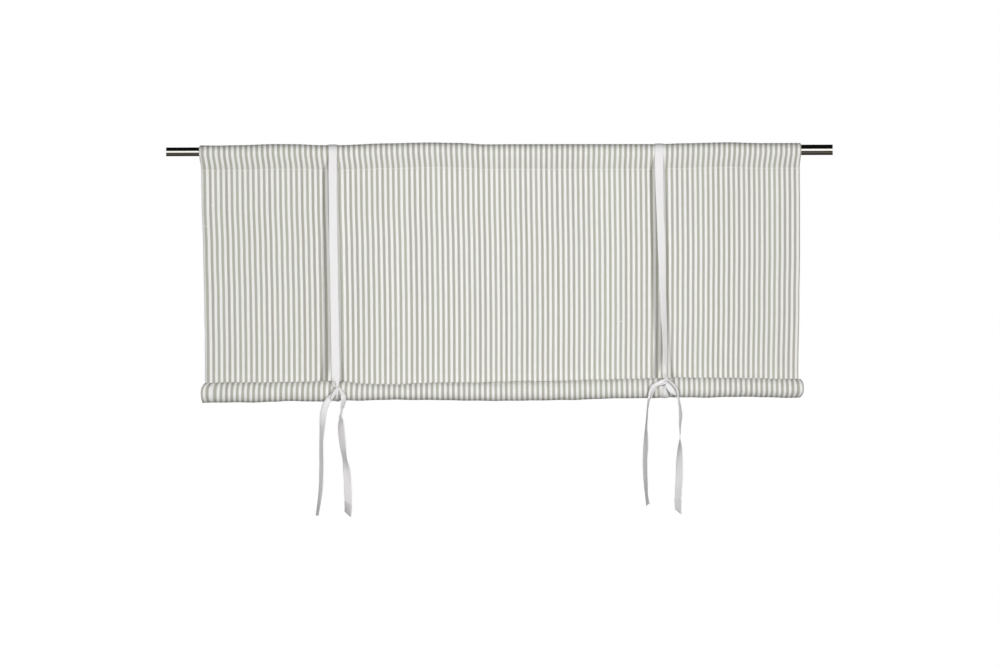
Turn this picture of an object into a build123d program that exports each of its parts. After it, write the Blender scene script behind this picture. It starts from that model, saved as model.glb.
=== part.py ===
"""Tie-up window blind: a striped cotton cloth on a telescopic steel rod, rolled up and held by two tied tapes.

Millimetres. +X runs along the rod, -Y is the room side, +Z is up.
The origin is on the rod's axis, in the middle of the cloth's width.
"""
from build123d import *
from math import asin, atan2, cos, degrees, hypot, pi, radians, sin
import os

# ---- rod: a thin tube that slides in a thicker one ----
outer_od = 19.0
outer_wall = 0.8
outer_length = 700.0
inner_od = 16.0
inner_wall = 0.8
inner_length = 690.0
rod_length = 1200.0
mouth_lip_length = 3.0
mouth_edge_radius = 1.0
slide_clearance = 0.05
bush_length = 15.0
bush_lip = 1.5

# ---- cloth ----
cloth_width = 1084.0
ply = 0.8
tunnel_gap = 0.9
header_depth = 45.0
roll_radius = 17.0
roll_drop = 433.0
roll_air = 0.4

# ---- bar in the bottom hem, at the core of the roll ----
bar_diameter = 10.0
bar_inset = 4.0
soft_clearance = 0.3

# ---- tie tapes ----
tape_width = 15.0
tape_ply = 0.8
knot_height = 16.0
knot_depth = 3.0
knot_corner = 2.0
# a tie: its middle along the rod, the knot's width, and the line of each hanging tail as (x, z) from the roll's centre
ties = {
    "tie_tape_left": {
        "x": -299.0,
        "knot_width": 24.0,
        "tails": [
            [(4, 7), (-16, -14), (-22, -60), (-22, -125), (-28, -222)],
            [(6, 7), (16, -14), (14, -60), (22, -130), (28, -221)],
        ],
    },
    "tie_tape_right": {
        "x": 291.0,
        "knot_width": 30.0,
        "tails": [
            [(3, 12), (-23, -12), (-29, -60), (-31, -140), (-25, -204)],
            [(8, 12), (28, -14), (33, -70), (32, -140), (28, -219)],
        ],
    },
}

# ---- what follows from them ----
outer_r = outer_od / 2
outer_bore_r = outer_r - outer_wall
inner_r = inner_od / 2
inner_bore_r = inner_r - inner_wall
outer_end_x = rod_length / 2
mouth_x = outer_end_x - outer_length
inner_end_x = -rod_length / 2
hidden_end_x = inner_end_x + inner_length

tunnel_bore_r = outer_r + tunnel_gap
tunnel_out_r = tunnel_bore_r + ply
stitch_z = tunnel_out_r - header_depth
roll_centre = (0.0, -roll_drop)
turn_pitch = ply + roll_air
bar_r = bar_diameter / 2


def tube_along_x(r_out, r_in, x_from, x_to):
    """A plain tube on the rod's axis."""
    ring = Circle(r_out) - Circle(r_in)
    return extrude(Plane.YZ.offset(x_from) * ring, x_to - x_from)


def build_outer_tube():
    """The thick tube, its mouth rolled in to guide the thin one."""
    tube = tube_along_x(outer_r, outer_bore_r, mouth_x, outer_end_x)
    tube += tube_along_x(outer_r, inner_r + slide_clearance, mouth_x, mouth_x + mouth_lip_length)
    rim = tube.edges().filter_by(GeomType.CIRCLE).filter_by(lambda e: abs(e.radius - outer_r) < 1e-6)
    return fillet(rim.sort_by(Axis.X)[0], mouth_edge_radius)


def build_inner_tube():
    """The thin tube, plain from end to end."""
    return tube_along_x(inner_r, inner_bore_r, inner_end_x, hidden_end_x)


def build_guide_bush():
    """The plastic bush pushed over the thin tube's hidden end, which runs in the thick tube's bore."""
    run_r = outer_bore_r - slide_clearance
    sleeve = tube_along_x(run_r, inner_r, hidden_end_x - bush_length, hidden_end_x)
    lip = tube_along_x(run_r, inner_bore_r, hidden_end_x, hidden_end_x + bush_lip)
    return sleeve + lip


def drop_shape(radius, tip):
    """A teardrop face: a circle on the rod's axis with straight sides down to a tip, in (y, z)."""
    lean = asin(radius / -tip)
    touch = (radius * cos(lean), -radius * sin(lean))
    over = ThreePointArc((touch[0], touch[1]), (0, radius), (-touch[0], touch[1]))
    down = Polyline((-touch[0], touch[1]), (0, tip), (touch[0], touch[1]))
    return make_face([over, down.edges()[0], down.edges()[1]])


def roll_arcs():
    """The rolled cloth's middle line, from outside in, as half-turn arcs: (centre y, centre z, radius, start angle).

    Each half turn is half a pitch smaller than the one before, about a centre moved so that the two meet smoothly.
    """
    radius = roll_radius - ply / 2
    away = hypot(roll_centre[0], roll_centre[1] - stitch_z)
    start = asin(radius / away)
    start = start + atan2(roll_centre[0], stitch_z - roll_centre[1])
    centre = roll_centre
    arcs = []
    smallest = bar_r + soft_clearance + ply / 2 + turn_pitch / 4
    while radius > smallest:
        arcs.append((centre[0], centre[1], radius, start - pi * len(arcs)))
        step = turn_pitch / 2
        way = arcs[-1][3] - pi
        centre = (centre[0] + step * cos(way), centre[1] + step * sin(way))
        radius -= step
    return arcs


def arc_chain(arcs, offset):
    """The same half turns as edges, moved outwards by offset from the middle line."""
    return [
        CenterArc((cy, cz), r + offset, degrees(a), -180)
        for cy, cz, r, a in arcs
    ]


def panel_and_roll_face():
    """The hanging panel and its roll as one ribbon of cloth, in (y, z)."""
    arcs = roll_arcs()
    front = arc_chain(arcs, ply / 2)
    back = arc_chain(arcs, -ply / 2)
    first = arcs[0][3]
    half = (ply / 2 * cos(first), ply / 2 * sin(first))
    top = (0.0, stitch_z)
    outer_side = Line((top[0] + half[0], top[1] + half[1]), front[0] @ 0)
    inner_side = Line((top[0] - half[0], top[1] - half[1]), back[0] @ 0)
    head = Line(outer_side @ 0, inner_side @ 0)
    tail = Line(front[-1] @ 1, back[-1] @ 1)
    return make_face([head, outer_side, *front, tail, *reversed(back), inner_side])


def build_blind_cloth():
    """Rod tunnel, panel and roll: one piece of cloth, shown by its section."""
    tip_in = stitch_z + ply
    tunnel = drop_shape(tunnel_out_r, stitch_z - ply) - drop_shape(tunnel_bore_r, tip_in)
    section = tunnel + panel_and_roll_face()
    return extrude(Plane.YZ * section, cloth_width / 2, both=True)


def build_bottom_bar():
    """The round wooden bar in the bottom hem."""
    last = roll_arcs()[-2:]
    cy = (last[0][0] + last[1][0]) / 2
    cz = (last[0][1] + last[1][1]) / 2
    bar_length = cloth_width - 2 * bar_inset
    return Pos(0, cy, cz) * Rot(0, 90, 0) * Cylinder(bar_r, bar_length)


def belt_face(r_top, r_roll):
    """The outline of a belt drawn tight round the header and the roll, in (y, z)."""
    lean = asin((r_roll - r_top) / roll_drop)
    reach = cos(lean)
    rise = sin(lean)
    top_touch = (r_top * reach, r_top * rise)
    low_touch = (r_roll * reach, r_roll * rise - roll_drop)
    over = ThreePointArc(top_touch, (0, r_top), (-top_touch[0], top_touch[1]))
    under = ThreePointArc((-low_touch[0], low_touch[1]), (0, -roll_drop - r_roll), low_touch)
    front = Line((-top_touch[0], top_touch[1]), (-low_touch[0], low_touch[1]))
    back = Line(low_touch, top_touch)
    return make_face([over, front, under, back])


def strip_face(points, width):
    """A flat strip of even width along a line of (x, z) points."""
    left = []
    right = []
    for i, (x, z) in enumerate(points):
        before = points[max(i - 1, 0)]
        after = points[min(i + 1, len(points) - 1)]
        run = hypot(after[0] - before[0], after[1] - before[1])
        side = ((after[1] - before[1]) / run, (before[0] - after[0]) / run)
        left.append((x + side[0] * width / 2, z + side[1] * width / 2))
        right.append((x - side[0] * width / 2, z - side[1] * width / 2))
    return make_face(Polyline(*left, *reversed(right), close=True).edges())


def build_tie(x, knot_width, tails):
    """One long tape: over the header, down both sides, round the roll, knotted in front, with two tails."""
    top_in = tunnel_out_r + soft_clearance
    roll_in = roll_radius + soft_clearance
    loop = belt_face(top_in + tape_ply, roll_in + tape_ply) - belt_face(top_in, roll_in)
    tie = extrude(Plane.YZ.offset(x - tape_width / 2) * loop, tape_width)
    front_y = -roll_in
    sheet = Plane((x, front_y, -roll_drop), x_dir=(1, 0, 0), z_dir=(0, -1, 0))
    for points in tails:
        tie += extrude(sheet * strip_face(points, tape_width), tape_ply)
    knot = fillet(Box(knot_width, knot_depth, knot_height).edges().filter_by(Axis.Y), knot_corner)
    tie += Pos(x, front_y - knot_depth / 2, -roll_drop) * knot
    return tie


def write(name, shape):
    """One STEP file for each piece, with its volume printed."""
    export_step(shape, f"parts/{name}.step")
    print(f"{name}: {len(shape.solids())} solid, {shape.volume / 1000:.2f} cm3")


os.makedirs("parts", exist_ok=True)
write("outer_tube", build_outer_tube())
write("inner_tube", build_inner_tube())
write("guide_bush", build_guide_bush())
write("blind_cloth", build_blind_cloth())
write("bottom_bar", build_bottom_bar())
for tie_name, tie in ties.items():
    write(tie_name, build_tie(tie["x"], tie["knot_width"], tie["tails"]))

rolled = sum(pi * r for _, _, r, _ in roll_arcs())
panel = roll_drop + stitch_z
print(f"rolled cloth {rolled:.0f} mm, {len(roll_arcs()) / 2} turns, hanging panel {panel:.0f} mm")
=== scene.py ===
# %% [markdown]
# # A tie-up blind of striped ticking
# The blind is a length of striped cotton hung from a polished telescopic rod by a sewn tunnel. Its lower
# part is rolled up by hand and held by two white tapes, each tied in a loose half knot with two tails.
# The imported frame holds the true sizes, and the main measures are read from its boxes. How the cloth and the
# tapes wander between them is set out below in the same frame.

# %% Load the frame and note the sizes
import math
import random

import bmesh
import bpy
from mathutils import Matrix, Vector


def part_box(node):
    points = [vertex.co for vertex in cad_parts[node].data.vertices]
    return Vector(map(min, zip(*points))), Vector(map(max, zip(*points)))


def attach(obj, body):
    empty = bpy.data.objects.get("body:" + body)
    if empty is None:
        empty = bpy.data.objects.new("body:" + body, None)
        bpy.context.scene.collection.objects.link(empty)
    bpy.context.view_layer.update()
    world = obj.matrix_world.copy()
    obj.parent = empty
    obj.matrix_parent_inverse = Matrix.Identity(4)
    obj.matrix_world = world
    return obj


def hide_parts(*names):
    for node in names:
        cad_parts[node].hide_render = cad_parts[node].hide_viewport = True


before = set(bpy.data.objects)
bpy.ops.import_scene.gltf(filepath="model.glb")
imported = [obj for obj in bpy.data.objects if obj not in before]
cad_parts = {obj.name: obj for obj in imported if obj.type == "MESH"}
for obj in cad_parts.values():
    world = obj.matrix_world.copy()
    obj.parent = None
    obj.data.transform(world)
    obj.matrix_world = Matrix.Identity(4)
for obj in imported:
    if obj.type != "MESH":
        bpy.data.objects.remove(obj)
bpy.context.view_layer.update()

MM = 0.001
cloth_lo, cloth_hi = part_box("blind_cloth")
thick_lo, thick_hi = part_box("outer_tube")
thin_lo, thin_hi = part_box("inner_tube")
bar_lo, bar_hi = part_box("bottom_bar")

CLOTH_WIDTH = cloth_hi.x - cloth_lo.x
THICK_R = (thick_hi.z - thick_lo.z) / 2
THIN_R = (thin_hi.z - thin_lo.z) / 2
ROLL_R = (cloth_hi.y - cloth_lo.y) / 2
ROLL_Z = cloth_lo.z + ROLL_R
HEADER_TOP = cloth_hi.z
BAR_R = (bar_hi.z - bar_lo.z) / 2
print("cloth", round(CLOTH_WIDTH, 3), "roll radius", round(ROLL_R, 4), "roll axis at z", round(ROLL_Z, 3))

# %% [markdown]
# ## Smooth curves through a few values
# Cloth is never straight. Most of its wander is slow, so a handful of values along the width, joined
# smoothly, says all of it. One helper eases between values, another makes a single soft bump.

# %% Easing helpers
def eased(stations):
    """A function of x that runs smoothly through (x, value) stations and stays level past the ends."""
    def at(x):
        if x <= stations[0][0]:
            return stations[0][1]
        for (x0, v0), (x1, v1) in zip(stations, stations[1:]):
            if x <= x1:
                t = (x - x0) / (x1 - x0)
                return v0 + (v1 - v0) * t * t * (3 - 2 * t)
        return stations[-1][1]
    return at


def eased_mm(stations):
    """The same, with values given in millimetres."""
    return eased([(x, v * MM) for x, v in stations])


def bump(x, centre, width):
    """1 at the centre, falling smoothly to nothing about two widths away."""
    return math.exp(-((x - centre) / width) ** 2)


def mix(a, b, t):
    return a + (b - a) * t


def limited(share):
    """A share held between 0 and 1."""
    return min(1.0, max(0.0, share))


print("a bump falls to", round(bump(2, 0, 1), 3), "two widths from its centre")

# %% [markdown]
# ## Where the tapes cross the cloth
# The two tapes squeeze the header, and the cloth buckles into a shallow valley beside each of them. A tape
# leans a little on its way down, so it has one place at the header and another at the roll. The tapes' boxes
# in the frame, tails and all, should be centred close to them.

# %% Tape places
def middle_x(node):
    lo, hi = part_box(node)
    return (lo.x + hi.x) / 2


TAPE_WIDTH = 15 * MM
TAPE_THICK = 0.7 * MM
LEFT_TAPE_TOP = -300 * MM
LEFT_TAPE_LOW = -295 * MM
RIGHT_TAPE_TOP = 287.5 * MM
RIGHT_TAPE_LOW = 296 * MM
for node in ("tie_tape_left", "tie_tape_right"):
    print(node, "is centred at x", round(middle_x(node), 3))

# %% [markdown]
# ## The cloth's section
# Seen from the end, the cloth starts behind the stitch line, goes up and over the rod, comes down in front
# to the stitch line, hangs to the back of the roll, and winds inwards round the hem bar. The section is cut
# into stretches, each with its own number of rows, and every stretch is a small function of how far along
# it a row lies. Heights that change across the width come from eased curves. A cloth simulation could find
# the folds too, but it would not put them where they hang on this blind.

# %% Section measures across the width
PLY = 0.6 * MM
HEADER_DEPTH = 45 * MM
HEM_BELOW_STITCH = 7 * MM
TUNNEL_R = HEADER_TOP - PLY / 2 + 3.8 * MM
CORE_R = BAR_R + 1.0 * MM
TURNS = 9

header_lift = eased_mm([
    (-0.54, 0.1), (-0.50, -0.4), (-0.46, 0.1), (-0.40, 1.9), (-0.36, 1.6),
    (-0.315, -0.3), (-0.285, -0.4), (-0.20, 2.5), (-0.12, 3.9), (-0.07, 2.9),
    (-0.02, 0.1), (0.03, 0.3), (0.24, -0.1), (0.288, -0.4), (0.33, 1.0),
    (0.41, 2.5), (0.47, 0.9), (0.53, 0.9),
])
roll_top = eased_mm([
    (-0.54, -415.3), (-0.45, -414.2), (-0.35, -414.0), (-0.317, -411.8),
    (-0.279, -412.9), (-0.248, -417.9), (-0.19, -419.0), (-0.126, -416.3),
    (-0.065, -415.8), (0.058, -413.6), (0.18, -411.7), (0.241, -409.4),
    (0.328, -407.6), (0.39, -408.3), (0.45, -409.8), (0.522, -411.0),
])
roll_low = eased_mm([
    (-0.53, -452.0), (-0.44, -451.9), (-0.405, -450.4), (-0.385, -449.4),
    (-0.317, -451.0), (-0.279, -448.4), (-0.248, -449.0), (-0.187, -447.6),
    (-0.126, -448.0), (-0.065, -449.8), (0.058, -450.2), (0.119, -448.8),
    (0.241, -446.1), (0.328, -445.3), (0.371, -445.5), (0.414, -444.3),
    (0.522, -446.1),
])
left_edge = eased_mm([
    (-0.36, -531.4), (-0.27, -532.3), (-0.18, -534.0), (-0.09, -536.4),
    (-0.03, -536.9),
])
right_edge = eased_mm([
    (-0.40, 536.8), (-0.27, 539.1), (-0.18, 540.5), (-0.09, 540.8),
    (-0.03, 540.3),
])
header_shear = eased_mm([
    (-0.54, -3.9), (-0.44, -3.3), (-0.28, -3.0), (-0.16, -2.3), (-0.07, -1.3),
    (0.02, -0.1), (0.10, 0.3), (0.24, 1.3), (0.32, 1.3), (0.42, 2.2),
    (0.51, 3.6), (0.545, 3.0),
])
crowding = eased_mm([
    (0.0, 0.0), (0.19, 0.5), (0.35, 1.1), (0.43, 1.6), (0.48, 2.3), (0.53, 3.4),
    (0.59, 4.1), (0.67, 4.7), (0.79, 5.0), (1.0, 5.8),
])
print("roll", round(1000 * (roll_top(0) - roll_low(0)), 1), "mm thick in the middle")

# %% Section as stretches
def tangent_lean(radius, depth):
    """How far a straight side leans when it runs from a point at that depth to a circle above it."""
    return math.asin(radius / depth)


def waist(x, way):
    """Slow vertical folds of the hanging panel: how far it stands towards the room, at way 0 (top) to 1."""
    swell = math.sin(way * math.pi) ** 0.7
    slow = 1.4 * math.sin(x * 23 + 0.6) + 0.8 * math.sin(x * 61 + 2.0 + way)
    return slow * MM * swell


def valleys(x, way):
    """The buckles beside the tapes, deeper towards the roll and gone where the cloth goes under it."""
    close = 1 - max(0.0, way - 0.985) / 0.015
    left = mix(LEFT_TAPE_TOP, LEFT_TAPE_LOW, way)
    right = mix(RIGHT_TAPE_TOP, RIGHT_TAPE_LOW, way)
    deep = 1.6 * MM * (0.3 + 0.7 * way) * bump(x, left - 12 * MM, 10 * MM)
    deep += 1.4 * MM * (0.3 + 0.7 * way) * bump(x, left + 12 * MM, 8 * MM)
    deep += 2.0 * MM * (0.4 + 0.6 * way) * bump(x, right - 12 * MM, 10 * MM)
    deep += 1.2 * MM * way * bump(x, right + 13 * MM, 8 * MM)
    return deep * close


def roll_shape(x):
    """The roll's middle height and its half height at x."""
    top, low = roll_top(x), roll_low(x)
    return (top + low) / 2, (top - low) / 2


def back_hem(x, t):
    z = stitch_height(x) - HEM_BELOW_STITCH * (1 - t)
    return Vector((0, 0.75 * MM + 0.5 * MM * (1 - t), z))


def stitch_height(x):
    return HEADER_TOP + header_lift(x) - HEADER_DEPTH


def tunnel(x, t):
    """Up the back, over the rod and down the front, as t goes from 0 to 1."""
    r = TUNNEL_R
    middle = HEADER_TOP - r + header_lift(x)
    depth = middle - stitch_height(x)
    lean = tangent_lean(r, depth)
    side = math.sqrt(depth * depth - r * r)
    over = r * (math.pi + 2 * lean)
    run = t * (2 * side + over)
    if run < side or run > side + over:
        down = run < side
        s = run / side if down else (2 * side + over - run) / side
        y, z = r * math.cos(lean) * s, mix(-depth, -r * math.sin(lean), s)
        y += 1.2 * MM * math.sin(math.pi * s) + 0.4 * MM * (1 - s)
        return Vector((0, y if down else -y, middle + z))
    turn = -lean + (run - side) / r
    return Vector((0, r * math.cos(turn), middle + r * math.sin(turn)))


def panel(x, t):
    """From the stitch line down to the back of the roll."""
    z = mix(stitch_height(x), roll_shape(x)[0], t)
    back = t ** 20 * (21 - 20 * t)
    y = mix(-0.4 * MM, ROLL_R - PLY / 2, back) + 2.5 * MM * math.sin(math.pi * t) ** 0.7
    return Vector((0, y - waist(x, t) + valleys(x, t), z))


def rolled(x, t):
    """The winding, from the back of the roll inwards; one turn is 1 / TURNS of the way."""
    middle, half = roll_shape(x)
    turn = t * TURNS * 2 * math.pi
    in_way = t ** 1.02
    ry = mix(ROLL_R - PLY / 2, CORE_R, in_way)
    rz = mix(half - PLY / 2, CORE_R, in_way)
    squeeze = bump(x, LEFT_TAPE_LOW, 10 * MM) + bump(x, RIGHT_TAPE_LOW, 12 * MM)
    loose = 0.5 * MM * math.sin(x * 47 + turn * 1.3) * (1 - t) + 0.35 * MM * math.sin(x * 131 + turn * 2)
    fade = min(1.0, turn / 0.6) * (1 - t)
    ry += fade * (loose - 1.0 * MM * squeeze)
    rz += fade * (loose * 0.6 - 0.8 * MM * squeeze)
    core_z = mix(middle, ROLL_Z, in_way * 0.6)
    return Vector((0, ry * math.cos(turn), core_z - rz * math.sin(turn)))


# how much cloth each stretch takes
TUNNEL_SIDE = 33 * MM
TUNNEL_LEAN = 0.33
PANEL_LENGTH = HEADER_TOP - HEADER_DEPTH - ROLL_Z
TUNNEL_LENGTH = 2 * TUNNEL_SIDE + TUNNEL_R * (math.pi + 2 * TUNNEL_LEAN)
ROLLED_LENGTH = TURNS * math.pi * (ROLL_R + CORE_R)
OUTER_TURN = 1.15 / TURNS
print("rolled part", round(ROLLED_LENGTH, 3), "m, hanging panel", round(PANEL_LENGTH, 3), "m")

# %% [markdown]
# ## Across the width
# The stripes run down the cloth, so what happens across the width shows at once. The header is pulled
# towards the ends above the stitch line, the panel is a little narrower than the header, and the roll is
# wider again. The columns are closer together beside the tapes, where the cloth buckles. At the left end of
# the roll the selvedge is squeezed together, as where it is tucked in by hand.

# %% Columns and their places
def side_edges(z):
    return left_edge(z), right_edge(z)


def column_places(coarse, fine, near):
    """Fractions of the width from 0 to 1, closer together near the two tapes."""
    places = [0.0]
    while places[-1] < 1:
        x = (places[-1] - 0.5) * CLOTH_WIDTH
        close = min(abs(x - LEFT_TAPE_LOW), abs(x - RIGHT_TAPE_LOW)) < near
        places.append(places[-1] + (fine if close else coarse) / CLOTH_WIDTH)
    return [p / places[-1] for p in places]


TUCK = 5.4 * MM
TUCKED_EDGE = 6 * MM
TUCK_FADES_FROM = 17 * MM
TUCK_FADES_OVER = 11 * MM


def left_tuck(f):
    """How much of the tuck is left at fraction f of the width; it is full a little way in from the left."""
    from_left = f * CLOTH_WIDTH
    ease = limited((from_left - TUCK_FADES_FROM) / TUCK_FADES_OVER)
    return min(1.0, from_left / TUCKED_EDGE) * (1 - ease * ease * (3 - 2 * ease))


def roll_end_shift(f, turn):
    """The selvedges bulge out half way up the roll, and inner turns stand in or out a little."""
    x = (f - 0.5) * CLOTH_WIDTH
    side = 1 if f > 0.5 else -1
    very_end = abs(2 * f - 1) ** 30
    corner = 3.2 * MM if f < 0.5 and math.sin(turn) > 0 else 5.5 * MM
    rounding = (2.6 if f > 0.5 else 0.7) * MM - corner * abs(math.sin(turn)) ** 3
    inner = limited(turn / math.pi - 2)
    shift = side * rounding * very_end + inner * 2.0 * MM * math.sin(turn * 0.9 + 1) * abs(2 * f - 1) ** 6
    low, high = max(0.0, math.sin(turn)), max(0.0, -math.sin(turn))
    to_right = limited((f - 0.76) / 0.1)
    to_left = limited((0.32 - f) / 0.15)
    shift += 2.2 * MM * high ** 2 * to_left - 2.3 * MM * low ** 3 * to_right
    shift -= left_tuck(f) * (1 - inner) * (TUCK - 0.6 * corner * abs(math.sin(turn)) ** 3)
    return shift - 1.5 * MM * bump(x, 0.37, 0.06)


def across(f, part, t, z):
    """x of the cloth at fraction f of its width, for one stretch of the section."""
    x = (f - 0.5) * CLOTH_WIDTH
    lo, hi = side_edges(z)
    if part is rolled:
        turn = t * TURNS * 2 * math.pi
        wide = limited((turn - 0.3) / 1.2)
        out = 1 - min(1.0, t * TURNS / 2)
        lo_roll = mix(-536.5 * MM, -538.9 * MM, out)
        hi_roll = mix(541 * MM, 545.0 * MM, out)
        return mix(mix(lo, hi, f), mix(lo_roll, hi_roll, f) + roll_end_shift(f, turn), wide)
    x = mix(lo, hi, f)
    low = limited((z + 0.09) / (ROLL_Z + 0.09))
    x += (1.6 * low - 0.7) * MM * (4 * f * (1 - f)) ** 0.7
    if part is tunnel:
        height = limited((z - stitch_height(x)) / (0.7 * HEADER_DEPTH))
        x += header_shear(x) * height * height * (3 - 2 * height)
        arch = max(0.0, (z - header_lift(x)) / HEADER_TOP) ** 6
        x -= (2.4 if f > 0.5 else -2.4) * MM * arch * abs(2 * f - 1) ** 60
    return x


def cut_across(f):
    """Place across the flat cloth, in metres: the stripes crowd a little towards the right."""
    return CLOTH_WIDTH * f * (1 + 0.0046 * f + 0.0216 * f * f) / 1.0262 + crowding(f)


print("edges at the stitch line", [round(edge, 3) for edge in side_edges(HEADER_TOP - HEADER_DEPTH)])

# %% [markdown]
# ## Building the cloth
# A grid is the natural start for cloth: its two directions become the warp and the weft. Each grid point
# is given its flat place as a UV, so the woven pattern follows the cloth through every bend, and is then
# moved to its place on the section. The inner turns of the roll show only at the ends, so they get a
# coarser grid of their own inside the same piece.

# %% Grid helpers
def new_piece(name, bm, smooth=True):
    mesh = bpy.data.meshes.new(name)
    bm.to_mesh(mesh)
    bm.free()
    for face in mesh.polygons:
        face.use_smooth = smooth
    obj = bpy.data.objects.new(name, mesh)
    bpy.context.scene.collection.objects.link(obj)
    return obj


def placed_grid(bm, columns, rows, place):
    """A grid whose point (column, row) goes where place says; place gives (position, flat place)."""
    layer = bm.loops.layers.uv.get("UVMap") or bm.loops.layers.uv.new("UVMap")
    made = bmesh.ops.create_grid(bm, x_segments=len(columns) - 1, y_segments=len(rows) - 1, size=0.5)
    flat = {}
    for v in made["verts"]:
        i = round((v.co.x + 0.5) * (len(columns) - 1))
        j = round((v.co.y + 0.5) * (len(rows) - 1))
        v.co, flat[v] = place(columns[i], rows[j])
    for face in {f for v in made["verts"] for f in v.link_faces}:
        for loop in face.loops:
            loop[layer].uv = flat[loop.vert]


def solid_sheet(obj, thickness):
    wall = obj.modifiers.new("thickness", "SOLIDIFY")
    wall.thickness = thickness
    wall.offset = 0


def stretch_rows(part, t0, t1, count, length):
    """Rows of one stretch as (shape, t, true length so far)."""
    return [(part, mix(t0, t1, k / count), length * mix(t0, t1, k / count)) for k in range(count + 1)]


print("the hem takes", len(stretch_rows(back_hem, 0, 1, 2, HEM_BELOW_STITCH)), "rows")

# %% The cloth
starts = {back_hem: 0.0, tunnel: HEM_BELOW_STITCH}
starts[panel] = starts[tunnel] + TUNNEL_LENGTH
starts[rolled] = starts[panel] + PANEL_LENGTH


def place_cloth(f, row):
    part, t, along = row
    x = mix(*side_edges(-0.2), f)
    point = part(x, t)
    x = across(f, part, t, point.z)
    return Vector((x, point.y, point.z)), (cut_across(f), starts[part] + along)


outer_rows = stretch_rows(back_hem, 0, 1, 2, HEM_BELOW_STITCH)[:-1]
outer_rows += stretch_rows(tunnel, 0, 1, 40, TUNNEL_LENGTH)[:-1]
outer_rows += stretch_rows(panel, 0, 1, 56, PANEL_LENGTH)[:-1]
outer_rows += stretch_rows(rolled, 0, OUTER_TURN, 44, ROLLED_LENGTH)
inner_rows = stretch_rows(rolled, OUTER_TURN, 1, 170, ROLLED_LENGTH)

cloth_bm = bmesh.new()
placed_grid(cloth_bm, column_places(6 * MM, 2.5 * MM, 34 * MM), outer_rows, place_cloth)
placed_grid(cloth_bm, column_places(45 * MM, 45 * MM, 0), inner_rows, place_cloth)
cloth = new_piece("striped_cloth", cloth_bm)
solid_sheet(cloth, PLY)
print("cloth", len(cloth.data.polygons), "faces")

# %% [markdown]
# ## The tapes as ribbons
# A tape is a flat band that runs, turns over and twists. It is set out by stations: a place, the way its
# face looks, how wide it lies and how much it is gathered. A smooth curve through the stations gives the
# rows of a grid. A tail that hangs is as wide as any other stretch; it only turns its edge to the room.
# One tail of each tape ends in a hem, turned up behind and sewn across.

# %% Ribbon helpers
def through(stations, step):
    """Samples a smooth curve through stations (tuples of numbers, place first), about a step apart."""
    gaps = [max(1e-6, math.dist(a[:3], b[:3])) for a, b in zip(stations, stations[1:])]
    slopes = []
    for i, here in enumerate(stations):
        before = gaps[i - 1] if i else gaps[0]
        after = gaps[i] if i < len(gaps) else gaps[-1]
        last = stations[i - 1] if i else here
        following = stations[i + 1] if i < len(gaps) else here
        slopes.append([
            ((n - h) / after * before + (h - b) / before * after) / (before + after)
            for b, h, n in zip(last, here, following)
        ])
    samples = []
    for i, gap in enumerate(gaps):
        count = max(1, round(gap / step))
        for k in range(count + (i == len(gaps) - 1)):
            t = k / count
            a, b = (1 + 2 * t) * (1 - t) ** 2, t * t * (3 - 2 * t)
            c, d = t * (1 - t) ** 2 * gap, t * t * (t - 1) * gap
            samples.append([
                a * p + b * q + c * m + d * n
                for p, q, m, n in zip(stations[i], stations[i + 1], slopes[i], slopes[i + 1])
            ])
    return samples


def facing(turn):
    """The way a hanging tape's face looks: 0 is at the room, 90 is along the rod."""
    return math.sin(math.radians(turn)), -math.cos(math.radians(turn)), 0.0


RIBBON_COLUMNS = [k / 12 for k in range(13)]
HEM = 27 * MM
HEM_STITCHES = (0.12, 0.32, 0.5, 0.68, 0.88)
hem_places = []


def add_ribbon(bm, stations, step=3 * MM, slant=0.0, seed=0, hem=0.0):
    """One stretch of tape, and its true length.

    A station is (x, y, z, face x, face y, face z, width, gathers), all in metres.
    """
    rows = through(stations, step)
    places = [Vector(r[:3]) for r in rows]
    along = [0.0]
    for a, b in zip(places, places[1:]):
        along.append(along[-1] + (b - a).length)
    wander = random.Random(seed)
    phase = wander.uniform(0, 6.28)

    def place(c, j):
        before, after = places[max(j - 1, 0)], places[min(j + 1, len(rows) - 1)]
        run = (after - before).normalized()
        look = Vector(rows[j][3:6])
        look = (look - run * look.dot(run)).normalized()
        side = run.cross(look)
        width, gathers = rows[j][6], rows[j][7]
        spare = math.sqrt(max(0.0, TAPE_WIDTH ** 2 - width ** 2)) / (4 * max(gathers, 1))
        lift = spare * min(gathers, 1) * math.sin(2 * math.pi * gathers * (c - 0.5) + phase)
        lift += 0.45 * MM * (1 - (2 * c - 1) ** 2) * math.sin(along[j] * 40 + phase)
        left_over = along[-1] - along[j]
        near_end = max(0.0, 1 - left_over / (18 * MM))
        if hem:
            lift -= 0.5 * MM * bump(left_over, hem - 1.5 * MM, 2 * MM)
        p = places[j] + side * width * (c - 0.5) + look * lift + run * slant * (c - 0.5) * near_end
        return p, (TAPE_WIDTH * c, along[j])

    def place_fold(c, j):
        here, flat = place(c, j)
        return here - Vector(rows[j][3:6]).normalized() * 1.1 * MM, flat

    placed_grid(bm, RIBBON_COLUMNS, list(range(len(rows))), place)
    if hem:
        turned_up = [j for j in range(len(rows)) if along[-1] - along[j] <= hem]
        placed_grid(bm, RIBBON_COLUMNS, turned_up, place_fold)
        first = turned_up[0]
        look = Vector(rows[first][3:6]).normalized()
        along_seam = place(1.0, first)[0] - place(0.0, first)[0]
        for c in HEM_STITCHES:
            for away in (0.5 * MM, -1.6 * MM):
                hem_places.append((place(c, first)[0] + look * away, along_seam))
    return along[-1] + hem


print("a ribbon has", len(RIBBON_COLUMNS), "columns of points")

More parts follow.
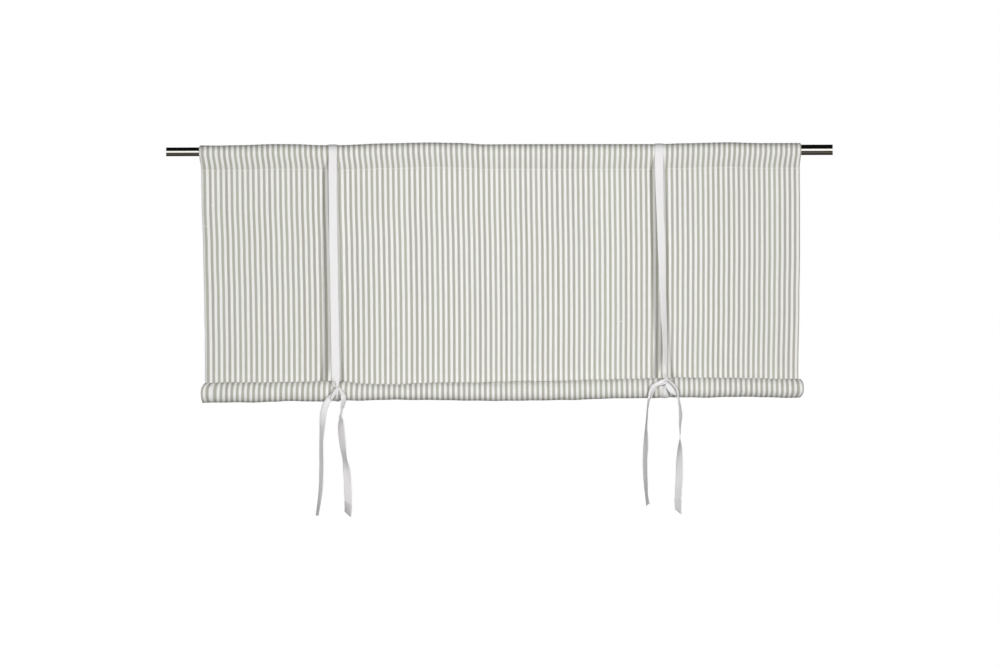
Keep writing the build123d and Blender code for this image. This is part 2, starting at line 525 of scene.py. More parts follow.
# %% [markdown]
# ## The loop of a tape
# Both tapes run the same way: up from the knot, over the header, down behind the panel, under the roll and
# back up to the knot. Only the line seen from the room differs, and how the tape narrows into its knot.

# %% Loop of a tape
LOOP_R = TUNNEL_R + PLY / 2 + TAPE_THICK / 2 + 0.2 * MM
ROLL_LOOP_R = ROLL_R + TAPE_THICK / 2 + 0.3 * MM


def loop_stations(top_x, low_x, apex, front, under):
    """Stations from the knot up and right round.

    front is [(z, x, width, gathers, turn)] in millimetres and degrees, from the knot to the header; under is
    the tape's width where it comes up from below the roll.
    """
    stations = []
    for z, x, width, gathers, turn in front:
        way = z * MM / apex[2]
        stations.append((x * MM, mix(-LOOP_R, apex[1], way), z * MM, *facing(turn), width * MM, gathers))
    middle = HEADER_TOP - TUNNEL_R
    for k in range(9):
        turn = math.pi * (1 - k / 8)
        y, z = math.cos(turn), math.sin(turn)
        stations.append((top_x, LOOP_R * y, middle + LOOP_R * z, 0, y, z, TAPE_WIDTH, 0))
    half_way = (mix(top_x, low_x, 0.5), mix(LOOP_R, ROLL_LOOP_R, 0.5), ROLL_Z / 2)
    stations.append((*half_way, 0, 1, 0, TAPE_WIDTH, 0))
    roll_middle, roll_half = roll_shape(low_x)
    rise = roll_half - 0.5 * MM
    for k in range(8):
        turn = -math.radians(150) * k / 7
        y, z = math.cos(turn), math.sin(turn)
        width = mix(TAPE_WIDTH, under, k / 7)
        stations.append((low_x, ROLL_LOOP_R * y, roll_middle + rise * z, 0, y, z, width, k / 7))
    rest = mix(roll_middle - rise * 0.3, apex[2], 0.35)
    near_knot = (mix(low_x, apex[0], 0.6), -ROLL_LOOP_R - 0.4 * MM, rest)
    stations.append((*near_knot, 0, -1, -0.1, under * 0.8, 1.2))
    stations.append((apex[0], apex[1] + 1.0 * MM, apex[2] - 2 * MM, 0, -1, 0, under * 0.45, 1.5))
    return stations


def in_metres(rows):
    """Rows of (x, y, z, face, width, gathers) with x, y, z and width in millimetres, made stations."""
    return [tuple(v * MM for v in r[:3]) + tuple(r[3]) + (r[4] * MM, r[5]) for r in rows]


def finish_tape(name, bm):
    tape = new_piece(name, bm)
    solid_sheet(tape, TAPE_THICK)
    return tape


print("a loop lies", round(1000 * LOOP_R, 1), "mm from the rod's axis")

# %% [markdown]
# ## Knots and tails
# Each tie is a loose half knot: one end passes over the other, and both hang down as tails. A knot could be
# sculpted as one lump, but then its bands would not run on into the tails. Here every band that shows is a
# short ribbon of its own inside the one piece, laid over the next by a millimetre or so, and the ribbons
# meet out of sight in the middle.

# %% The left tape
left_bm = bmesh.new()
left_apex = (-292.6 * MM, -19.4 * MM, -427 * MM)
left_front = [
    (-425.5, -292.8, 5, 1.5, 0), (-423, -294.3, 8, 1.4, -10), (-416.8, -295.2, 11.2, 1.0, -10),
    (-410.3, -296.0, 14.0, 0.4, -5), (-398, -296.2, 15, 0, 0), (-366, -296.6, 15, 0, 0),
    (-230, -298.6, 15, 0, 0), (-96, -300.2, 15, 0, 0), (-30, -300.4, 15, 0, 0),
]
left_loop = loop_stations(LEFT_TAPE_TOP, LEFT_TAPE_LOW, left_apex, left_front, 12 * MM)
left_length = add_ribbon(left_bm, left_loop, seed=1)
left_tail_a = in_metres([
    (-289.6, -18.6, -431.0, (0.2, -1, 0), 6, 1.5),
    (-291.4, -20.8, -427.4, (0, -1, 0.5), 6.5, 1.5),
    (-295.0, -21.8, -428.6, (0, -1, 0.4), 7, 1.3),
    (-299.4, -21.4, -434.4, (0, -1, 0.2), 7.5, 1.3),
    (-303.4, -20.8, -440.6, (0, -1, 0.1), 8, 1.2),
    (-308.4, -20.8, -446.6, facing(-18), 9.4, 0.8),
    (-312.6, -20.4, -453.6, facing(-24), 10.8, 0.7),
    (-316.2, -20.0, -463.4, facing(-29), 12, 0.6),
    (-318.8, -19.6, -476.0, facing(-31), 13, 0.4),
    (-320.0, -19.4, -488.0, facing(-38), 13, 0.3),
    (-320.8, -19.2, -502.0, facing(-48), 12.4, 0.2),
    (-321.9, -19.2, -516.0, facing(-52), 11.2, 0.2),
    (-322.3, -19.0, -573.0, facing(-52), 11, 0.2),
    (-323.5, -18.6, -609.0, facing(-52), 11, 0.2),
    (-325.8, -18.4, -628.0, facing(-58), 11, 0.2),
    (-330.2, -18.4, -655.6, facing(-70), 12, 0.2),
])
left_wrap = in_metres([
    (-288.0, -21.0, -430.6, (0.6, -1, 0.6), 5.5, 1.2),
    (-292.0, -23.0, -427.2, (0, -1, 0.7), 7, 1.2),
    (-296.8, -23.6, -431.6, (-0.1, -1, 0.4), 8.4, 1.0),
    (-300.8, -23.4, -437.6, (-0.1, -1, 0.1), 8.8, 1.0),
    (-303.6, -22.0, -443.6, (-0.2, -1, -0.5), 8.2, 1.0),
    (-303.0, -19.6, -446.2, (-0.1, -0.4, -1), 7, 1.0),
])
left_tail_b = in_metres([
    (-297.0, -18.8, -431.0, (-0.2, -1, 0), 6, 1.5),
    (-294.2, -21.4, -427.6, (0, -1, 0.5), 6.5, 1.5),
    (-289.6, -22.4, -428.4, (0.1, -1, 0.3), 7.6, 1.0),
    (-285.4, -22.8, -433.6, (0.2, -1, 0.1), 9, 0.8),
    (-282.4, -22.4, -440.0, (0.3, -1, 0), 10, 0.7),
    (-281.8, -21.4, -447.0, facing(44), 13, 0.4),
    (-282.9, -20.6, -453.6, facing(54), 13, 0.3),
    (-284.6, -20.0, -461.6, facing(67), 14, 0.2),
    (-285.8, -19.6, -468.8, facing(86), 11.5, 1.3),
    (-286.4, -19.2, -487.0, facing(126), 15, 0),
    (-283.6, -19.0, -528.0, facing(137), 15, 0),
    (-279.6, -18.8, -555.6, facing(124), 15, 0),
    (-276.8, -18.6, -573.6, facing(146), 15, 0),
    (-274.6, -18.4, -606.6, facing(158), 15, 0),
    (-273.8, -17.6, -628.0, facing(154), 15, 0),
    (-273.9, -12.0, -640.0, facing(146), 15, 0),
    (-274.4, -4.0, -653.0, facing(142), 15, 0),
])
left_length += add_ribbon(left_bm, left_wrap, step=1.2 * MM, seed=8)
left_length += add_ribbon(left_bm, left_tail_a, seed=2)
left_length += add_ribbon(left_bm, left_tail_b, slant=4 * MM, seed=3, hem=HEM)
left_tape = finish_tape("tie_tape_left_woven", left_bm)
print("left tape", round(left_length, 3), "m long")

# %% The right tape
right_bm = bmesh.new()
right_apex = (298.4 * MM, -19.6 * MM, -412.5 * MM)
right_front = [
    (-411.5, 298.6, 4.4, 1.5, 0), (-407, 298.0, 6, 1.2, 15), (-399, 297.0, 9, 0.8, 40),
    (-386.5, 296.6, 12, 0.5, 52), (-359.5, 296.8, 14, 0.3, 56), (-269.5, 294.0, 15, 0, 44),
    (-179.5, 291.4, 15, 0, 29), (-89.5, 288.6, 15, 0, 22), (-44.5, 287.2, 15, 0, 14),
    (-22, 287.0, 15, 0, 5),
]
right_loop = loop_stations(RIGHT_TAPE_TOP, RIGHT_TAPE_LOW, right_apex, right_front, 14 * MM)
right_length = add_ribbon(right_bm, right_loop, seed=4)
right_tail_a = in_metres([
    (303.0, -19.2, -417.5, (0.2, -1, 0), 6, 1.5),
    (300.4, -21.2, -413.6, (0, -1, 0.5), 7.5, 1.4),
    (295.8, -22.4, -416.6, (0, -1, 0.4), 9, 1.2),
    (288.3, -22.8, -419.6, (0, -1, 0.3), 8.8, 1.2),
    (280.6, -22.6, -422.4, (0, -1, 0.2), 8.2, 1.2),
    (275.2, -22.0, -428.0, (-0.1, -1, 0.1), 8.4, 1.0),
    (272.0, -21.2, -436.0, (-0.2, -1, 0), 8.4, 0.9),
    (270.2, -20.6, -443.6, (-0.4, -1, 0), 8, 0.8),
    (267.9, -20.2, -451.0, facing(-50), 8, 0.8),
    (266.1, -19.8, -458.5, facing(-72), 12.5, 0.4),
    (264.4, -19.4, -476.5, facing(-75), 13, 0.3),
    (263.0, -19.2, -494.5, facing(-75), 14, 0.2),
    (262.4, -19.0, -521.5, facing(-58), 14.6, 0.1),
    (260.6, -18.8, -557.5, facing(-55), 14.4, 0.1),
    (261.2, -18.6, -593.5, facing(-56), 13.4, 0.2),
    (264.1, -18.4, -629.0, facing(-66), 14, 0.2),
    (265.4, -18.4, -637.4, facing(-60), 14, 0.2),
])
right_tail_b = in_metres([
    (294.4, -19.0, -416.6, (-0.2, -1, 0), 5, 1.5),
    (298.0, -21.4, -411.4, (0, -1, 0.5), 5.5, 1.5),
    (303.0, -23.0, -415.6, (0.1, -1, 0.2), 4.6, 1.0),
    (309.8, -23.6, -421.0, (0.2, -1, 0.1), 4.2, 0.9),
    (315.8, -23.2, -428.8, (0.4, -1, 0), 4.6, 0.8),
    (319.2, -22.0, -438.0, (1.0, -1, 0), 6, 0.7),
    (320.6, -21.0, -444.6, facing(66), 9, 0.5),
    (323.1, -20.2, -458.5, facing(72), 13, 0.2),
    (324.4, -19.6, -476.5, facing(66), 15, 0),
    (323.4, -19.2, -494.5, facing(76), 15, 0),
    (323.6, -19.0, -518.0, facing(92), 15, 0),
    (323.4, -18.8, -536.0, facing(120), 15, 0),
    (322.6, -18.8, -557.5, facing(138), 15, 0),
    (321.7, -18.6, -593.5, facing(148), 15, 0),
    (319.8, -18.4, -624.0, facing(141), 15, 0),
    (319.9, -17.8, -638.0, (0.8, 1, -0.4), 14.6, 0),
    (320.4, -16.6, -651.0, (1.0, 1, -0.6), 13.4, 0.1),
])
right_leaf = in_metres([
    (297.6, -20.2, -416.5, (0, -1, 0.3), 4, 1.2),
    (300.6, -22.0, -421.6, (0.1, -1, 0.1), 9, 0.4),
    (306.0, -22.4, -429.0, (0.1, -1, 0), 10, 0.3),
    (311.6, -21.6, -436.2, (0.1, -1, 0), 8, 0.5),
    (315.4, -19.2, -441.6, (0.2, -1, -0.3), 3, 0.8),
])
right_length += add_ribbon(right_bm, right_tail_a, slant=3 * MM, seed=5)
right_length += add_ribbon(right_bm, right_tail_b, slant=8 * MM, seed=6, hem=HEM)
right_length += add_ribbon(right_bm, right_leaf, step=1.5 * MM, seed=7)
right_tape = finish_tape("tie_tape_right_woven", right_bm)
print("right tape", round(right_length, 3), "m long")

# %% [markdown]
# ## Sewing thread
# One row of machine stitches closes the tunnel, short rows hold the tapes' hems, and a few loose stitches lie
# on the panel. A stitch is a short thread on the cloth. There are hundreds, so each is only a small faceted
# ball drawn out along its row, which looks like thread at any distance a blind is seen from.

# %% Stitches
STITCH_PITCH = 3.4 * MM
STITCH_LENGTH = 2.5 * MM
THREAD_R = 0.6 * MM
THREAD_DEPTH = 0.35 * MM
ROW_ENDS = 2 * MM
LOOSE_STITCHES = [
    (-0.5345, -0.1340), (-0.5305, -0.1342), (-0.5265, -0.1345), (-0.5185, -0.0965), (0.218, -0.3078),
    (0.2405, -0.3062),
]


def add_stitch(bm, middle, along, length=STITCH_LENGTH):
    made = bmesh.ops.create_icosphere(bm, subdivisions=1, radius=1)["verts"]
    bmesh.ops.scale(bm, vec=(length / 2, THREAD_DEPTH, THREAD_R), verts=made)
    turn = Vector((1, 0, 0)).rotation_difference(along).to_matrix()
    bmesh.ops.rotate(bm, cent=(0, 0, 0), matrix=turn, verts=made)
    bmesh.ops.translate(bm, vec=middle, verts=made)


def place_panel(x, z):
    """The hanging panel's own point at that x and height."""
    top = stitch_height(x)
    return panel(x, (z - top) / (roll_shape(x)[0] - top))


stitch_bm = bmesh.new()
x = left_edge(-0.03) + ROW_ENDS
while x < right_edge(-0.03) - ROW_ENDS:
    here = Vector((x, -PLY / 2 - 0.6 * MM, stitch_height(x)))
    there = Vector((x + 1 * MM, here.y, stitch_height(x + 1 * MM)))
    add_stitch(stitch_bm, here, there - here)
    x += STITCH_PITCH
for here, way in hem_places:
    add_stitch(stitch_bm, here, way, 2 * MM)
for x, z in LOOSE_STITCHES:
    front = place_panel(x, z).y - PLY / 2 - 0.2 * MM
    add_stitch(stitch_bm, Vector((x, front, z)), Vector((1, 0, 0)), 3 * MM)
stitches = new_piece("header_stitches", stitch_bm)
print("stitches:", len(stitches.data.polygons) // 20)

# %% [markdown]
# ## Rod, liner and bar
# The tubes and the bar are turned shapes: a profile spun about the rod's axis. The frame's own solids are
# cut into flat facets that a mirror finish would show, so the parts are made again, round and smooth. The
# liner on the thin tube's hidden end stays the frame's own solid, because it is never seen up close.

# %% Turned parts
def turned(name, profile, middle, sides):
    """A closed ring profile of (x, radius) points spun about a line along X through middle."""
    bm = bmesh.new()
    ring = [bm.verts.new((x, middle.y, middle.z + r)) for x, r in profile]
    edges = [bm.edges.new((a, b)) for a, b in zip(ring, ring[1:] + ring[:1])]
    bmesh.ops.spin(
        bm, geom=ring + edges, cent=middle, axis=(1, 0, 0), angle=2 * math.pi, steps=sides, use_merge=True
    )
    bmesh.ops.recalc_face_normals(bm, faces=bm.faces)
    obj = new_piece(name, bm)
    obj.data.set_sharp_from_angle(angle=math.radians(35))
    return obj


def rounded_tube(x0, x1, outer, inner, ease):
    """A tube's cross-cut profile with both rims eased, as a cut and deburred tube has them."""
    return [
        (x0, inner + ease), (x0, outer - ease), (x0 + ease, outer), (x1 - ease, outer),
        (x1, outer - ease), (x1, inner + ease), (x1 - ease, inner), (x0 + ease, inner),
    ]


WALL = 0.8 * MM
RIM = 0.2 * MM
MOUTH_EDGE = 0.6 * MM
MOUTH_R = THIN_R + 0.05 * MM
BAR_EDGE = 1 * MM
CENTRE_HOLE_R = 0.5 * MM
ROD_AXIS = Vector((0, 0, 0))
thick = turned("thick_tube", [
    (thick_lo.x, MOUTH_R + 0.1 * MM), (thick_lo.x, THICK_R - MOUTH_EDGE),
    (thick_lo.x + MOUTH_EDGE, THICK_R), (thick_hi.x - RIM, THICK_R),
    (thick_hi.x, THICK_R - RIM), (thick_hi.x, THICK_R - WALL + RIM),
    (thick_hi.x - RIM, THICK_R - WALL), (thick_lo.x + 3.4 * MM, THICK_R - WALL),
    (thick_lo.x + 3 * MM, MOUTH_R), (thick_lo.x + 0.1 * MM, MOUTH_R),
], ROD_AXIS, 96)
thin = turned("thin_tube", rounded_tube(thin_lo.x, thin_hi.x, THIN_R, THIN_R - WALL, RIM), ROD_AXIS, 96)
bar = turned("hem_bar", [
    (bar_lo.x, CENTRE_HOLE_R), (bar_lo.x, BAR_R - BAR_EDGE), (bar_lo.x + 0.3 * MM, BAR_R - 0.3 * MM),
    (bar_lo.x + BAR_EDGE, BAR_R), (bar_hi.x - BAR_EDGE, BAR_R), (bar_hi.x - 0.3 * MM, BAR_R - 0.3 * MM),
    (bar_hi.x, BAR_R - BAR_EDGE), (bar_hi.x, CENTRE_HOLE_R),
], (bar_lo + bar_hi) / 2, 48)
print("tubes", round(2000 * THICK_R), "and", round(2000 * THIN_R), "mm across")

# %% [markdown]
# ## Shared effects
# The weave, the stripe and the wear are each a node group that returns a mask or a height. Every material
# keeps its own surface shader and asks these groups for the detail.

# %% Node helpers
def new_group(name, numbers, outputs):
    """A group that takes a Place and the named numbers, and puts out named values."""
    group = bpy.data.node_groups.new(name, "ShaderNodeTree")
    group.interface.new_socket("Place", in_out="INPUT", socket_type="NodeSocketVector")
    for label, value in numbers.items():
        socket = group.interface.new_socket(label, in_out="INPUT", socket_type="NodeSocketFloat")
        socket.default_value = value
    for label in outputs:
        group.interface.new_socket(label, in_out="OUTPUT", socket_type="NodeSocketFloat")
    return group, group.nodes.new("NodeGroupInput"), group.nodes.new("NodeGroupOutput")


def wire(tree, source, target):
    """source is a number or a node output; target is a node input."""
    if isinstance(source, (int, float)):
        target.default_value = source
    else:
        tree.links.new(source, target)


def maths(tree, operation, a, b=0.0, c=0.0):
    node = tree.nodes.new("ShaderNodeMath")
    node.operation = operation
    for value, socket in zip((a, b, c), node.inputs):
        wire(tree, value, socket)
    return node.outputs[0]


def ranged(tree, value, low, high, to_low=0.0, to_high=1.0):
    node = tree.nodes.new("ShaderNodeMapRange")
    node.interpolation_type = "SMOOTHSTEP"
    for v, socket in zip((value, low, high, to_low, to_high), node.inputs):
        wire(tree, v, socket)
    return node.outputs[0]


def xyz(tree, vector):
    node = tree.nodes.new("ShaderNodeSeparateXYZ")
    tree.links.new(vector, node.inputs[0])
    return node.outputs


def mapped(tree, vector, **settings):
    """The vector scaled or turned, with Scale or Rotation given by name."""
    node = tree.nodes.new("ShaderNodeMapping")
    for label, value in settings.items():
        node.inputs[label].default_value = value
    tree.links.new(vector, node.inputs["Vector"])
    return node.outputs[0]


def noise(tree, place, scale, detail):
    node = tree.nodes.new("ShaderNodeTexNoise")
    node.inputs["Scale"].default_value = scale
    node.inputs["Detail"].default_value = detail
    tree.links.new(place, node.inputs["Vector"])
    return node.outputs["Fac"]


def mixed(tree, factor, a, b, blend="MIX"):
    """Two colours mixed; each is an (r, g, b) or a node output."""
    node = tree.nodes.new("ShaderNodeMix")
    node.data_type = "RGBA"
    node.blend_type = blend
    wire(tree, factor, node.inputs["Factor"])
    for value, label in ((a, 6), (b, 7)):
        if isinstance(value, tuple):
            node.inputs[label].default_value = (*value, 1.0)
        else:
            tree.links.new(value, node.inputs[label])
    return node.outputs[2]


def linear(*rgb):
    """A screen colour, 0 to 255, as linear light."""
    return tuple(((v / 255 + 0.055) / 1.055) ** 2.4 if v > 10 else v / 255 / 12.92 for v in rgb)


print("a mid grey screen colour is", round(linear(128)[0], 3), "in linear light")

# %% Plain weave
# yarns over and under by turns; Height is the crown of whichever yarn is on top
YARN = 0.45 * MM
weave, w_in, w_out = new_group("plain weave", {"Yarn": YARN}, ["Height"])
split = xyz(weave, w_in.outputs["Place"])
across_yarn = maths(weave, "DIVIDE", split[0], w_in.outputs["Yarn"])
along_yarn = maths(weave, "DIVIDE", split[1], w_in.outputs["Yarn"])
parity = maths(weave, "ADD", maths(weave, "FLOOR", across_yarn), maths(weave, "FLOOR", along_yarn))
warp_up = maths(weave, "PINGPONG", parity, 1.0)
crown_mix = weave.nodes.new("ShaderNodeMix")
weave.links.new(warp_up, crown_mix.inputs[0])
for yarns, slot in ((along_yarn, 2), (across_yarn, 3)):
    crown = maths(weave, "SINE", maths(weave, "MULTIPLY", yarns, math.pi))
    weave.links.new(maths(weave, "ABSOLUTE", crown), crown_mix.inputs[slot])
weave.links.new(crown_mix.outputs[0], w_out.inputs["Height"])
print("weave:", len(weave.nodes), "nodes")

# %% Stripe
# even stripes across the cloth; their borders wander by part of a yarn, as dyed warp ends do
stripe, s_in, s_out = new_group("woven stripe", {"Pitch": 9.6 * MM, "Shift": 0.0}, ["Dark", "Count"])
wander = noise(stripe, s_in.outputs["Place"], 900.0, 1.0)
shifted = maths(stripe, "ADD", xyz(stripe, s_in.outputs["Place"])[0], s_in.outputs["Shift"])
straying = maths(stripe, "MULTIPLY", maths(stripe, "SUBTRACT", wander, 0.5), 0.05)
turns_in = maths(stripe, "ADD", maths(stripe, "DIVIDE", shifted, s_in.outputs["Pitch"]), straying)
swing = maths(stripe, "COSINE", maths(stripe, "MULTIPLY", turns_in, 2 * math.pi))
stripe.links.new(ranged(stripe, swing, 0.32, -0.32), s_out.inputs["Dark"])
stripe.links.new(maths(stripe, "FLOOR", turns_in), s_out.inputs["Count"])
print("stripe:", len(stripe.nodes), "nodes")

# %% Twill
# the slanting rib of a narrow woven tape
RIB = 1.1 * MM
twill, t_in, t_out = new_group("twill", {"Rib": RIB}, ["Height"])
split = xyz(twill, t_in.outputs["Place"])
slope = maths(twill, "ADD", split[0], maths(twill, "MULTIPLY", split[1], 0.8))
ribs = maths(twill, "DIVIDE", slope, t_in.outputs["Rib"])
crest = maths(twill, "SINE", maths(twill, "MULTIPLY", ribs, 2 * math.pi))
twill.links.new(maths(twill, "MULTIPLY_ADD", crest, 0.5, 0.5), t_out.inputs["Height"])
print("twill:", len(twill.nodes), "nodes")

# %% Handling wear on metal
# faint wipe marks that run round the tube and slow patches where hands have been
wear, r_in, r_out = new_group("wipe marks", {}, ["Patches", "Lines"])
round_tube = mapped(wear, r_in.outputs["Place"], Scale=(900.0, 40.0, 40.0))
wear.links.new(noise(wear, r_in.outputs["Place"], 18.0, 3.0), r_out.inputs["Patches"])
wear.links.new(noise(wear, round_tube, 1.0, 3.0), r_out.inputs["Lines"])
print("wipe marks:", len(wear.nodes), "nodes")

# %% [markdown]
# ## Materials
# Each material is set with its true finish: washed cotton that scatters light softly, bright plated steel,
# moulded plastic and planed beech.

# %% Material helpers
def new_material(name):
    mat = bpy.data.materials.new(name)
    mat.use_nodes = True
    return mat, mat.node_tree, mat.node_tree.nodes["Principled BSDF"]


def flat_place(tree):
    node = tree.nodes.new("ShaderNodeUVMap")
    node.uv_map = "UVMap"
    return node.outputs[0]


def object_place(tree):
    return tree.nodes.new("ShaderNodeTexCoord").outputs["Object"]


def use_group(tree, group, place, **values):
    node = tree.nodes.new("ShaderNodeGroup")
    node.node_tree = group
    tree.links.new(place, node.inputs["Place"])
    for label, value in values.items():
        node.inputs[label].default_value = value
    return node


def set_finish(shader, **values):
    """Plain socket values; a socket's spaces are written as underscores."""
    for label, value in values.items():
        shader.inputs[label.replace("_", " ")].default_value = value


def bumped(tree, shader, height, distance, strength):
    node = tree.nodes.new("ShaderNodeBump")
    node.inputs["Distance"].default_value = distance
    node.inputs["Strength"].default_value = strength
    tree.links.new(height, node.inputs["Height"])
    tree.links.new(node.outputs["Normal"], shader.inputs["Normal"])


print("helpers for materials are ready")

# %% [markdown]
# ## Striped cotton
# Ticking is woven from dyed and undyed yarns, so its stripes belong to the cloth. They are painted by the
# cloth's own UV place and not by its place in the room, and turn with it over the rod and round the roll.
# The weave lifts the yarns' crowns as bumps, and painted shade darkens the gaps between them. The dark stripes
# differ a little.

# %% Striped cotton
STRIPES = 113
STRIPE_SHIFT = -1.3 * MM
ticking, tree, shader = new_material("striped cotton ticking")
place = flat_place(tree)
woven = use_group(tree, weave, place, Yarn=YARN)
striped = use_group(tree, stripe, place, Pitch=CLOTH_WIDTH / STRIPES, Shift=STRIPE_SHIFT)
slow = noise(tree, object_place(tree), 9.0, 3.0)
slubs = noise(tree, mapped(tree, place, Scale=(1800.0, 60.0, 1.0)), 1.0, 2.0)
each = tree.nodes.new("ShaderNodeTexWhiteNoise")
each.noise_dimensions = "1D"
tree.links.new(striped.outputs["Count"], each.inputs["W"])
pale = mixed(tree, slow, linear(237, 237, 235), linear(243, 243, 241))
dark = mixed(tree, each.outputs["Value"], linear(177, 175, 167), linear(184, 185, 174))
dyed = mixed(tree, striped.outputs["Dark"], pale, dark)
# painted shade: the low parts of the weave, between the yarns' crowns, are darkened towards a dim grey
gaps = ranged(tree, woven.outputs["Height"], 0.0, 0.7, 0.14, 0.0)
gap_shaded = mixed(tree, gaps, dyed, linear(120, 118, 112))
slubbed = mixed(tree, ranged(tree, slubs, 0.35, 0.75, 0.0, 0.10), gap_shaded, linear(140, 138, 132))
tree.links.new(slubbed, shader.inputs["Base Color"])
set_finish(shader, Roughness=0.9, Specular_IOR_Level=0.2, Sheen_Weight=0.12, Sheen_Roughness=0.5)
bumped(tree, shader, woven.outputs["Height"], 0.12 * MM, 0.6)
cloth.data.materials.append(ticking)
print(STRIPES, "stripes", round(1000 * CLOTH_WIDTH / STRIPES, 2), "mm apart")

# %% [markdown]
# ## White tape and thread
# The ties are bleached cotton tape with a slanting rib. The rib follows the tape's own UV place, so it turns
# over where the tape does, and painted shade darkens its grooves. Thread is brighter than tape, because it is
# polished for sewing.

# %% White tape and thread
tape_mat, tree, shader = new_material("white cotton tape")
place = flat_place(tree)
rib = use_group(tree, twill, place, Rib=RIB)
fine = noise(tree, place, 1400.0, 2.0)
# painted shade: the grooves between the ribs are darkened towards grey
groove_shade = ranged(tree, rib.outputs["Height"], 0.0, 1.0, 0.16, 0.0)
base = mixed(tree, groove_shade, linear(236, 235, 236), linear(190, 188, 185))
base = mixed(tree, ranged(tree, fine, 0.4, 0.8, 0.0, 0.10), base, linear(196, 194, 190))
tree.links.new(base, shader.inputs["Base Color"])
set_finish(shader, Roughness=0.88, Specular_IOR_Level=0.2, Sheen_Weight=0.1)
bumped(tree, shader, rib.outputs["Height"], 0.1 * MM, 0.6)
left_tape.data.materials.append(tape_mat)
right_tape.data.materials.append(tape_mat)

thread_mat, tree, shader = new_material("sewing thread")
plies = noise(tree, mapped(tree, object_place(tree), Rotation=(0.0, 0.0, 0.5)), 3000.0, 1.0)
twisted = mixed(tree, plies, linear(238, 237, 233), linear(250, 249, 247))
tree.links.new(twisted, shader.inputs["Base Color"])
set_finish(shader, Roughness=0.6)
stitches.data.materials.append(thread_mat)
print("tape ribs", round(1000 * RIB, 2), "mm apart")

# %% [markdown]
# ## Bright steel
# The rod is plated and polished, so nearly all of its look is the room that it mirrors. A faint change of
# roughness, with wipe marks round the tube, keeps the mirror from looking too perfect.

# %% Bright steel
steel_mat, tree, shader = new_material("bright plated steel")
marks = use_group(tree, wear, object_place(tree))
shade = mixed(tree, marks.outputs["Patches"], (0.80, 0.79, 0.77), (0.86, 0.85, 0.83))
tree.links.new(shade, shader.inputs["Base Color"])
set_finish(shader, Metallic=1.0)
patchy = ranged(tree, marks.outputs["Patches"], 0.3, 0.7, 0.07, 0.11)
lined = ranged(tree, marks.outputs["Lines"], 0.5, 0.8, 0.0, 0.04)
tree.links.new(maths(tree, "ADD", patchy, lined), shader.inputs["Roughness"])
thick.data.materials.append(steel_mat)
thin.data.materials.append(steel_mat)
print("the tubes share", steel_mat.name)

# %% [markdown]
# ## Beech bar and plastic liner
# The bar shows only at the ends of the roll and the liner only inside the thick tube, so both get a simple
# finish: grain drawn out along the bar, and fine specks for the moulded nylon.

# %% Beech bar and plastic liner
beech, tree, shader = new_material("planed beech")
grain = noise(tree, mapped(tree, object_place(tree), Scale=(6.0, 420.0, 420.0)), 1.0, 4.0)
planed = mixed(tree, grain, linear(196, 160, 118), linear(222, 192, 152))
tree.links.new(planed, shader.inputs["Base Color"])
set_finish(shader, Roughness=0.55)
bumped(tree, shader, grain, 0.2 * MM, 0.4)
bar.data.materials.append(beech)

plastic, tree, shader = new_material("grey nylon")
specks = noise(tree, object_place(tree), 700.0, 2.0)
moulded = mixed(tree, specks, linear(104, 104, 106), linear(116, 116, 118))
tree.links.new(moulded, shader.inputs["Base Color"])
set_finish(shader, Roughness=0.45)
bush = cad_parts["guide_bush"]
bush.data.materials.clear()
bush.data.materials.append(plastic)
print(len(bpy.data.materials), "materials so far")

# %% [markdown]
# ## Riding and standing in
# Every piece rides the body it is fixed to. The cloth, the tapes and the tubes stand in for their plain CAD
# solids.

# %% Bodies and stand-ins
for piece in (cloth, left_tape, right_tape, stitches, bar, thick):
    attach(piece, "blind")
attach(thin, "thin_rod")
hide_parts("blind_cloth")
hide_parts("tie_tape_left")
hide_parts("tie_tape_right")
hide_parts("bottom_bar")
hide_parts("outer_tube")
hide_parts("inner_tube")
print("the thin tube and its liner slide; the rest stays with the thick tube")

# %% [markdown]
# ## Stage and room
# The blind hangs free in a white room. The floor glows a little by itself, so that it stays pale from every
# side without lighting the cloth. The rod is a mirror, so it shows the room in bands: a dark strip from
# above, a bright one level with it and a brown-grey one from below. It is dimmer behind and above, and
# dimmer still to matt surfaces, because cloth looks flat in even light.

# %% Stage
FLOOR_Z = -1.05
floor_bm = bmesh.new()
bmesh.ops.create_grid(floor_bm, x_segments=1, y_segments=1, size=4.0)
bmesh.ops.translate(floor_bm, vec=(0, 0, FLOOR_Z), verts=floor_bm.verts)
floor = new_piece("floor", floor_bm, smooth=False)
floor_mat, tree, shader = new_material("pale floor")
set_finish(shader, Base_Color=(0.8, 0.8, 0.8, 1), Roughness=0.9)
set_finish(shader, Emission_Color=(0.62, 0.62, 0.61, 1), Emission_Strength=1.0)
floor.data.materials.append(floor_mat)
floor.visible_glossy = False
floor.visible_diffuse = False
print("floor at z", FLOOR_Z)

# %% World
world = bpy.data.worlds.new("white room")
bpy.context.scene.world = world
world.use_nodes = True
tree = world.node_tree
tree.nodes.clear()
direction = tree.nodes.new("ShaderNodeTexCoord").outputs["Generated"]
towards = xyz(tree, direction)
bands = tree.nodes.new("ShaderNodeValToRGB")
bands.color_ramp.interpolation = "LINEAR"
stops = [
    (0.0, 0.04), (0.05, 0.11), (0.11, 0.12), (0.16, 0.05), (0.31, 0.055), (0.325, 0.10), (0.345, 1.2),
    (0.50, 1.25), (0.67, 1.15), (0.70, 0.10), (0.74, 0.016), (1.0, 0.012),
]
ramp = bands.color_ramp.elements
lowest, highest = stops[0][1], stops[-1][1]
ramp[0].color = (lowest * 1.12, lowest, lowest * 0.82, 1)
ramp[1].color = (highest, highest, highest, 1)
for at, level in stops[1:-1]:
    warm = 0.18 if at < 0.33 else 0.03
    ramp.new(at).color = (level * (1 + warm / 2), level, level * (1 - warm), 1)
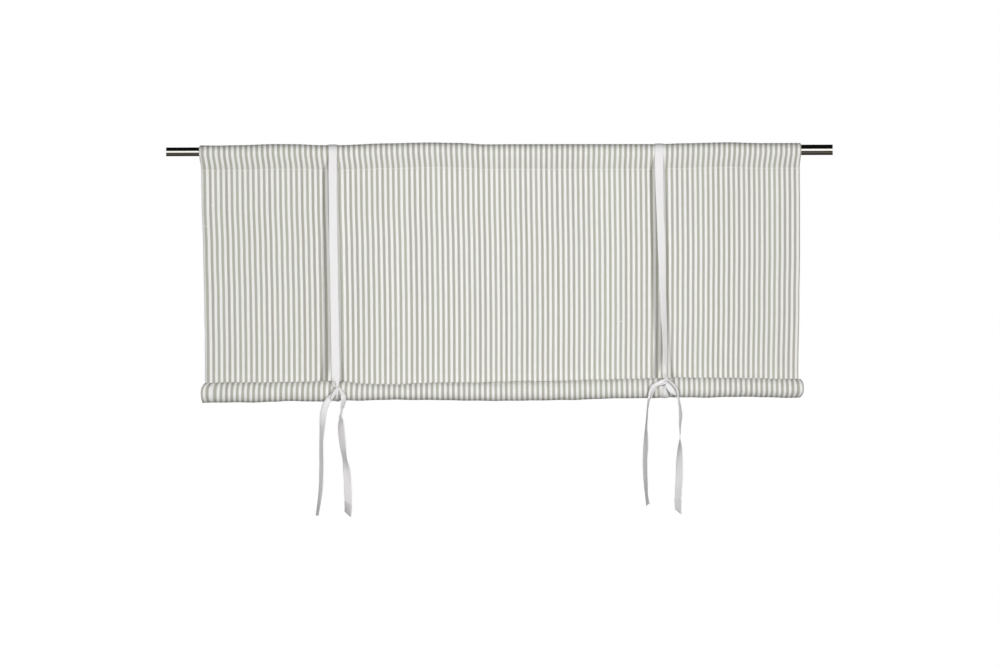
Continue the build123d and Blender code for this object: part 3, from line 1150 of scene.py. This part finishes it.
tree.links.new(maths(tree, "MULTIPLY_ADD", towards[2], 0.5, 0.5), bands.inputs[0])
rays = tree.nodes.new("ShaderNodeLightPath")
behind = ranged(tree, towards[1], -0.1, 0.3, 1.0, 0.4)
above = ranged(tree, towards[2], 0.2, 0.9, 1.0, 0.4)
soft_share = ranged(tree, rays.outputs["Is Diffuse Ray"], 0.0, 1.0, 1.0, 0.33)
softness = maths(tree, "MULTIPLY", maths(tree, "MULTIPLY", behind, above), soft_share)
room = mixed(tree, 1.0, bands.outputs[0], softness, "MULTIPLY")
seen = mixed(tree, rays.outputs["Is Camera Ray"], room, (1.0, 1.0, 1.0))
background = tree.nodes.new("ShaderNodeBackground")
tree.links.new(seen, background.inputs["Color"])
output = tree.nodes.new("ShaderNodeOutputWorld")
tree.links.new(background.outputs[0], output.inputs["Surface"])
print("room bands:", len(ramp))

# %% [markdown]
# ## Lights
# Two soft lamps stand in front, low and level with the blind, the stronger one to the right. Their beams are
# narrowed, which keeps the shadows beside the tapes and under the roll short and clear. A wide lamp behind
# lights the back, which nobody sees from the room.

# %% Lights
SPREAD = math.radians(76)


def soft_light(name, place, aim, width, height_of, power, spread=math.pi):
    data = bpy.data.lights.new(name, "AREA")
    data.shape = "RECTANGLE"
    data.size, data.size_y = width, height_of
    data.energy = power
    data.spread = spread
    light = bpy.data.objects.new(name, data)
    bpy.context.scene.collection.objects.link(light)
    light.location = place
    light.rotation_euler = (Vector(aim) - Vector(place)).to_track_quat("-Z", "Y").to_euler()
    light.visible_glossy = False
    light.visible_camera = False
    return light


key = soft_light("key", (3.09, -5.14, -0.22), (0, 0, -0.22), 0.7, 0.7, 29.8, SPREAD)
fill = soft_light("fill", (-1.17, -3.82, -0.25), (0, 0, -0.25), 0.5, 0.5, 11.8, SPREAD)
back = soft_light("back", (0.9, 4.2, -0.3), (0, 0, -0.3), 2.4, 1.2, 150)
for lamp in (key, fill, back):
    print(lamp.name, lamp.data.energy, "W")

# %% [markdown]
# ## Camera
# The camera looks straight at the blind from the front and is rolled by a hair, because the rod does not
# hang quite level in view. An orthographic camera keeps the stripes parallel, as a very long lens does.

# %% Camera
camera_data = bpy.data.cameras.new("camera")
camera_data.type = "ORTHO"
camera_data.ortho_scale = 1.8
camera = bpy.data.objects.new("camera", camera_data)
bpy.context.scene.collection.objects.link(camera)
camera.location = (0, -3.0, -0.3288)
camera.rotation_euler = (math.radians(90), math.radians(0.18), 0)
bpy.context.scene.camera = camera
bpy.context.scene.view_settings.view_transform = "Standard"
print("camera sees", camera_data.ortho_scale, "m across")
